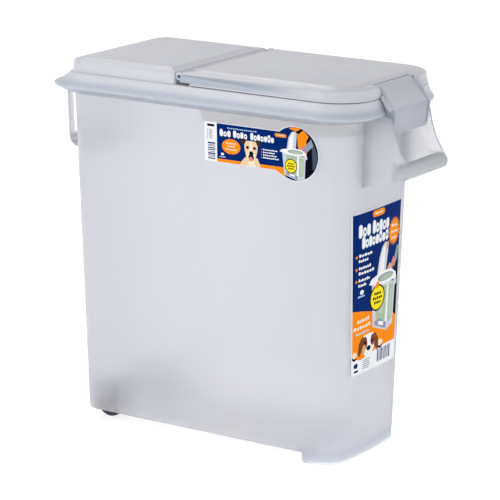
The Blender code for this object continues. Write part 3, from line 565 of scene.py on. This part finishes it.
def side_artwork():
    shapes = side_ground()
    for start, end in ((10.8, 27.5), (31.0, 52.0), (56.5, 91.5)):
        count = max(3, round((end - start) / 5.2))
        shapes += headline(start, end, 410.4, 419.2, count, 0.0, (0.4, 0.2, 0.5, 0.4))
    shapes += blocks("sky", 22.0, 66.0, 420.6, 422.6, 16)
    # The plain tag and the orange oval with three rows of blocks.
    shapes += [("orange", pill(92.2, 418.9, 109.2, 423.5)), ("cream", pill(95.6, 420.6, 105.8, 421.8))]
    shapes.append(("orange", arc(27.4, 398.2, 13.8, 9.7, steps=36)))
    for v, reach in ((402.4, 8.0), (398.6, 5.6), (394.6, 8.6)):
        shapes += blocks("cream", 27.4 - reach, 27.6 + reach, v - 1.1, v + 1.3, 6)
    # The dog's chest and head.
    chest = [(41.0, 377.0), (43.0, 382.0), (48.6, 388.0), (66.6, 388.0), (70.0, 380.0), (70.6, 377.0)]
    shapes += [("fawn", chest), ("cream", [(52.0, 377.0), (54.0, 386.0), (61.0, 386.0), (63.5, 377.0)])]
    shapes += dog(57.0, 396.2, 15.4, 14.6, "fawn", "umber", False)
    # Four lines with round bullets, and a small pictogram.
    for row, short in enumerate((2.0, 6.0, 3.0, 0.0)):
        v = 399.6 - 3.4 * row
        shapes.append(("orange", arc(72.6, v + 0.7, 0.7, 0.7, steps=12)))
        shapes += blocks("white", 74.6, 98.0 - short, v, v + 2.0, 8)
    shapes += [("white", rect(12.0, 385.9, 16.4, 388.9)), ("sky", pill(9.4, 383.2, 19.0, 384.4))]
    shapes += side_strip()
    # The medallion: someone's orange sleeve and hand behind a bin with its lid up.
    shapes += [
        ("orange", [(113.0, 431.6), (118.0, 433.8), (126.5, 433.4), (135.0, 430.4), (141.5, 424.6),
                    (138.0, 418.0), (138.6, 401.5), (130.0, 403.0), (126.0, 409.0), (124.5, 428.0)]),
        ("black", [(123.0, 428.6), (131.6, 433.0), (134.4, 431.6), (126.6, 425.6)]),
        ("grey", [(145.0, 421.0), (148.0, 413.0), (138.6, 404.0), (132.6, 402.6), (131.4, 407.0),
                  (137.0, 413.0)]),
        ("pink", [(127.6, 410.0), (133.6, 411.0), (136.0, 405.0), (130.6, 402.0)]),
        ("silver", [(109.4, 404.6), (112.0, 420.0), (117.0, 427.6), (122.5, 428.4), (124.4, 425.6),
                    (122.4, 404.0)]),
        ("white", [(111.2, 405.4), (114.0, 420.0), (118.0, 426.6), (120.4, 426.8), (118.0, 405.0)]),
    ]
    return shapes + drawn_bin(119.8, 367.2, 17.0, 40.0) + badge(115.4, 384.4, 9.0, 9.2)


def front_ground():
    """The navy ground, the orange band and the white foot."""
    return [
        ("navy", rect(INK_LEFT, INK_BOTTOM, INK_RIGHT, INK_TOP)),
        ("orange", [(INK_LEFT, 134.0), (INK_RIGHT, 134.0), (INK_RIGHT, 172.4), (44.0, 177.5), (16.0, 185.0),
                    (-10.0, 191.0), (-30.0, 195.6), (INK_LEFT, 199.0)]),
        ("white", [(INK_LEFT, INK_BOTTOM), (INK_RIGHT, INK_BOTTOM), (INK_RIGHT, 141.0), (30.0, 141.0),
                   (8.0, 140.4), (-14.0, 135.6), (-32.0, 133.4), (INK_LEFT, 137.0)]),
    ]


def front_foot():
    """The white foot's bar code, plain tags and lines."""
    shapes = barcode(7.0, 121.6, 41.0, 138.0, True)
    shapes += [("navy", pill(-47.0, 124.4, -38.0, 130.6)), ("navy", pill(-46.6, 118.8, -37.0, 121.6))]
    for i in range(5):
        v = 130.6 - 2.6 * i
        shapes.append(("grey", rect(-27.0, v, -9.6 - (0.0, 3.0, 1.4)[i % 3], v + 1.2)))
    return shapes


def front_artwork():
    shapes = front_ground()
    shapes += [("orange", pill(-12.0, 310.4, 14.0, 318.8)), ("cream", pill(-7.0, 313.6, 9.0, 315.6))]
    for start, end, low, high in ((-39.6, -14.8, 290.2, 306.4), (-11.0, 25.4, 290.2, 306.4),
                                  (-32.6, 24.6, 275.6, 290.0)):
        count = round((end - start) / 7.4)
        shapes += headline(start, end, low, high, count, 0.1, (0.8, 0.2, 0.8, 0.7))
    # The orange star with three rows of blocks.
    shapes.append(("orange", star(37.4, 283.4, 13.6, 18.6, 20, 0.76)))
    for v, reach in ((291.0, 6.6), (283.0, 7.8), (275.0, 6.2)):
        shapes += blocks("cream", 37.4 - reach, 37.8 + reach, v - 2.2, v + 2.2, 4)
    # Three pairs of lines with round bullets, and a small pictogram.
    for row, (v, first, second) in enumerate(((265.4, 28.6, 20.6), (249.6, 26.0, 34.0), (234.2, 24.0, 17.0))):
        shapes.append(("orange", arc(-43.6, v + 1.4, 1.9, 1.9, steps=16)))
        shapes += blocks("white", -39.0, -39.0 + first, v, v + 4.2, 5 + row)
        shapes += blocks("white", -39.4, -39.4 + second, v - 6.6, v - 2.4, 5 + row)
    shapes += [("white", arc(-31.6, 220.4, 4.0, 3.0)), ("sky", pill(-40.4, 214.2, -25.6, 216.4))]
    # The picture: a bin with its lid up, a hand that reaches in and the dark room behind.
    shapes += [
        ("silver", [(0.4, 231.0), (5.4, 256.0), (11.0, 268.6), (18.0, 274.0), (24.0, 271.6), (25.0, 262.0),
                    (20.0, 232.0)]),
        ("white", [(4.0, 232.6), (8.8, 256.0), (14.0, 267.0), (18.6, 270.6), (16.4, 232.0)]),
        ("tan", [(19.6, 262.0), (21.6, 272.6), (26.0, 273.4), (26.0, 266.0)]),
        ("black", [(46.0, 252.0), (INK_RIGHT, 254.0), (INK_RIGHT, 172.6), (44.4, 176.6), (45.4, 214.0)]),
        ("grey", [(46.0, 264.0), (50.6, 262.0), (48.0, 247.0), (41.0, 237.0), (36.4, 242.0), (41.6, 252.0)]),
        ("pink", [(33.4, 243.0), (38.0, 251.0), (42.6, 247.0), (38.4, 237.0), (33.0, 234.0)]),
        ("tan", [(24.6, 238.6), (29.6, 244.6), (35.6, 240.6), (34.0, 229.6), (27.0, 230.6)]),
    ]
    shapes += drawn_bin(17.3, 158.5, 27.7, 79.0) + badge(3.0, 205.6, 17.2, 17.0)
    shapes.append(("orange", [(-3.0, 220.0), (1.6, 227.4), (6.4, 225.0), (3.6, 217.6)]))
    # The orange band's words, and the dog with its paws on the white foot.
    for v, start, end in ((181.0, -40.6, -14.0), (172.6, -48.4, -10.0)):
        shapes += blocks("cream", start, end, v, v + 5.4, 6, 0.2)
    shapes += blocks("silver", -43.0, -13.0, 166.2, 169.6, 9, 0.1)
    for cu, cv, radius_u, radius_v in ((-45.4, 141.6, 5.0, 4.0), (13.4, 145.6, 6.4, 4.2)):
        shapes += [("black", arc(cu - 0.4, cv - 3.0, radius_u, radius_v)),
                   ("cream", arc(cu, cv, radius_u, radius_v))]
    shapes += dog(-14.6, 148.4, 23.0, 17.4, "white", "brown", True)
    return shapes + front_foot()


def cut_along(flat, axis):
    """Cut a flat mesh on every grid line across an axis, so that it can follow a curved wall."""
    places = [v.co[axis] for v in flat.verts]
    normal = (1, 0, 0) if axis == 0 else (0, 1, 0)
    step = FILM_STEP[axis]
    line = math.ceil(min(places) / step) * step
    while line < max(places):
        geom = list(flat.verts) + list(flat.edges) + list(flat.faces)
        point = (line, 0, 0) if axis == 0 else (0, line, 0)
        bmesh.ops.bisect_plane(flat, geom=geom, plane_co=point, plane_no=normal, dist=1e-4)
        line += step


def film_slab(bm, points, place, low, high, slot):
    """A thin closed slab over an outline, bent to the wall by its place function."""
    flat = bmesh.new()
    flat.faces.new([flat.verts.new((u, v, 0.0)) for u, v in points])
    for axis in (0, 1):
        cut_along(flat, axis)
    lower = {v: bm.verts.new(place(v.co.x, v.co.y, low)) for v in flat.verts}
    upper = {v: bm.verts.new(place(v.co.x, v.co.y, high)) for v in flat.verts}
    made = []
    for face in flat.faces:
        made.append(bm.faces.new([upper[v] for v in face.verts]))
        made.append(bm.faces.new([lower[v] for v in reversed(face.verts)]))
    for edge in flat.edges:
        if edge.is_boundary:
            a, b = edge.verts
            made.append(bm.faces.new((lower[a], lower[b], upper[b], upper[a])))
    for face in made:
        face.material_index = slot
    flat.free()


def layered(artwork):
    """Each shape with its layer: one above the highest earlier shape whose box it touches."""
    placed = []
    for ink, points in artwork:
        box = [f(p[axis] for p in points) for axis in (0, 1) for f in (min, max)]
        under = [layer for layer, b in placed
                 if b[0] < box[1] and box[0] < b[1] and b[2] < box[3] and box[2] < b[3]]
        layer = max(under, default=0) + 1
        placed.append((layer, box))
        yield layer, ink, points


def build_label(name, node, outline, artwork, place, inks):
    """The white film and, on it, every printed shape as its own thin layer of ink."""
    bm = bmesh.new()
    order = list(inks)
    film_slab(bm, outline, place, 0.0, FILM_THICK, order.index("white"))
    for layer, ink, points in layered(artwork):
        top = FILM_THICK + INK * layer
        film_slab(bm, points, place, FILM_THICK - INK, top, order.index(ink))
    bmesh.ops.recalc_face_normals(bm, faces=bm.faces)
    mesh = bpy.data.meshes.new(name)
    bm.to_mesh(mesh)
    bm.free()
    for ink in order:
        mesh.materials.append(inks[ink])
    label = bpy.data.objects.new(name, mesh)
    bpy.context.collection.objects.link(label)
    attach(label, "tub")
    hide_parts(node)


# ---------------------------------------------------------------- stage, light, camera

def view_direction(azimuth, elevation):
    a, e = math.radians(azimuth), math.radians(elevation)
    return Vector((math.cos(e) * math.sin(a), -math.cos(e) * math.cos(a), math.sin(e)))


def build_stage():
    """A floor that glows, so that it comes out plain white, like the photo's background."""
    bm = bmesh.new()
    bmesh.ops.create_grid(bm, x_segments=4, y_segments=4, size=FLOOR_SIZE)
    mesh = bpy.data.meshes.new("studio_floor")
    bm.to_mesh(mesh)
    bm.free()
    mat, _, shader = new_material("studio_floor")
    shader.inputs["Base Color"].default_value = (FLOOR_GREY, FLOOR_GREY, FLOOR_GREY, 1.0)
    shader.inputs["Roughness"].default_value = 0.9
    shader.inputs["Specular IOR Level"].default_value = 0.1
    shader.inputs["Emission Color"].default_value = (1.0, 1.0, 1.0, 1.0)
    shader.inputs["Emission Strength"].default_value = FLOOR_GLOW
    mesh.materials.append(mat)
    floor = bpy.data.objects.new("studio_floor", mesh)
    bpy.context.collection.objects.link(floor)


def add_softbox(name, azimuth, elevation, distance, size, watts):
    data = bpy.data.lights.new(name, "AREA")
    data.shape = "RECTANGLE"
    data.size, data.size_y = size
    data.energy = watts
    lamp = bpy.data.objects.new(name, data)
    bpy.context.collection.objects.link(lamp)
    direction = view_direction(azimuth, elevation)
    lamp.location = CAMERA_TARGET + direction * distance
    lamp.rotation_euler = direction.to_track_quat("Z", "Y").to_euler()


def build_light():
    world = bpy.data.worlds.new("studio")
    world.use_nodes = True
    tree = world.node_tree
    split = add_node(tree, "ShaderNodeSeparateXYZ")
    tree.links.new(add_node(tree, "ShaderNodeTexCoord").outputs["Generated"], split.inputs["Vector"])
    level = remap(tree, split.outputs["Z"], 0.0, 1.0, SKY_HORIZON, SKY_ZENITH)
    tree.links.new(level, tree.nodes["Background"].inputs["Strength"])
    tree.nodes["Background"].inputs["Color"].default_value = (1.0, 1.0, 1.0, 1.0)
    bpy.context.scene.world = world
    bpy.context.scene.view_settings.view_transform = "Standard"
    add_softbox("key", *KEY_LIGHT)
    add_softbox("fill", *FILL_LIGHT)
    add_softbox("back", *BACK_LIGHT)


def build_camera():
    data = bpy.data.cameras.new("camera")
    data.lens = CAMERA_LENS
    data.sensor_width = 36.0
    data.clip_end = 50.0
    camera = bpy.data.objects.new("camera", data)
    bpy.context.collection.objects.link(camera)
    direction = view_direction(CAMERA_AZIMUTH, CAMERA_ELEVATION)
    camera.location = CAMERA_TARGET + direction * CAMERA_DISTANCE
    camera.rotation_euler = direction.to_track_quat("Z", "Y").to_euler()
    bpy.context.scene.camera = camera


# ---------------------------------------------------------------- the bin

# The tub's zones of painted light and shade: the painted shadow under the lip, painted shade on the rim, the
# pull grip and the front wall, painted light on the lower wall and the pull handle, and painted shade at the
# foot.
TUB_LIGHT_AND_SHADE = (
    Zone((188, 392), (425, 441), 2.5, (0.82, 0.82, 0.79), 0.47),
    Zone(ALL_X, (441, 451), 2, (0.86, 0.90, 0.94)),
    Zone((232, 400), (360, 393), 2.5, (0.79, 0.825, 0.82)),
    Zone((110, 400), (-20, 441), 2, (0.95, 0.955, 0.96), 0.0, 70),
    Zone((-100, 400), (-20, 110), 40, (1.04, 1.04, 1.052), 0.0, 60),
    Zone((202, 400), (350, 441), 4, (1.06, 1.055, 1.05)),
    Zone((122, 400), (-20, 20), 6, (0.86, 0.88, 0.90)),
)
# Painted shade on the lid's lower wall and lip, which curve under and face down.
LIP_SHADE_ZONE = Zone(ALL_X, (440, 460), 4, (0.80, 0.85, 0.90))
# Painted shade on the door's side wall below its crown.
DOOR_WALL_SHADE_ZONE = Zone((-120, 105), (473.4, 482.6), 0.8, (0.68, 0.75, 0.80), 0.0, 50)
# Painted shade on the latch's lower part.
LATCH_SKIRT_SHADE_ZONE = Zone(ALL_X, (400, 457), 2, (0.76, 0.775, 0.81))

# Plastics: colour and its cloudier tone, transmission, roughness, and the heights where scuffs start to fade
# and are gone.
TUB_PLASTIC = ((0.93, 0.935, 0.985), (0.95, 0.955, 0.99), 0.8, 0.38, 0.012, 0.06)
# The lid plastic's grey is partly its own tone and partly painted shade, which keeps the lid's top darker
# than the tub's sides.
LID_PLASTIC = ((0.665, 0.675, 0.735), (0.68, 0.69, 0.745), 0.12, 0.34, 0.44, 0.47)
LATCH_PLASTIC = ((0.60, 0.625, 0.69), (0.61, 0.635, 0.70), 0.12, 0.34, 0.42, 0.44)

tub_plastic = polypropylene("tub_plastic", *TUB_PLASTIC, TUB_LIGHT_AND_SHADE)
lid_plastic = polypropylene("lid_plastic", *LID_PLASTIC, (LIP_SHADE_ZONE,))
door_plastic = polypropylene("door_plastic", *LID_PLASTIC, (DOOR_WALL_SHADE_ZONE,))
latch_plastic = polypropylene("latch_plastic", *LATCH_PLASTIC, (LATCH_SKIRT_SHADE_ZONE,))
seal_foam = foam_rubber()
black_plastic = black_moulding()
steel = drawn_steel()
inks = {ink: printed_ink(f"ink_{ink}", colour) for ink, colour in INKS.items()}

# The mouldings and wheels get a finished copy each; the small pieces keep their CAD shell.
for node, body, mat, edge in (("tub", "tub", tub_plastic, 0.35 * MM),
                              ("lid_frame", "lid", lid_plastic, 0.3 * MM),
                              ("door", "door", door_plastic, 0.3 * MM),
                              ("latch", "latch", latch_plastic, 0.3 * MM)):
    shell = finished_copy(node, body, mat, edge)
for side in ("left", "right"):
    finished_copy(f"wheel_{side}", f"wheel_{side}", black_plastic, 0.4 * MM)
for node, mat in (("rim_gasket", seal_foam), ("door_gasket", seal_foam), ("axle", steel),
                  ("latch_pin", steel), ("hinge_pin_left", steel), ("hinge_pin_right", steel),
                  ("axle_cap_left", black_plastic), ("axle_cap_right", black_plastic)):
    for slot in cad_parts[node].material_slots:
        slot.material = mat

build_label("side_label_print", "side_label", side_outline(), side_artwork(), on_side, inks)
front_outline = rect(-FRONT_REACH, FRONT_SHEET[0], FRONT_REACH, FRONT_SHEET[1])
build_label("front_label_print", "front_label", front_outline, front_artwork(), on_front, inks)

build_stage()
build_light()
build_camera()
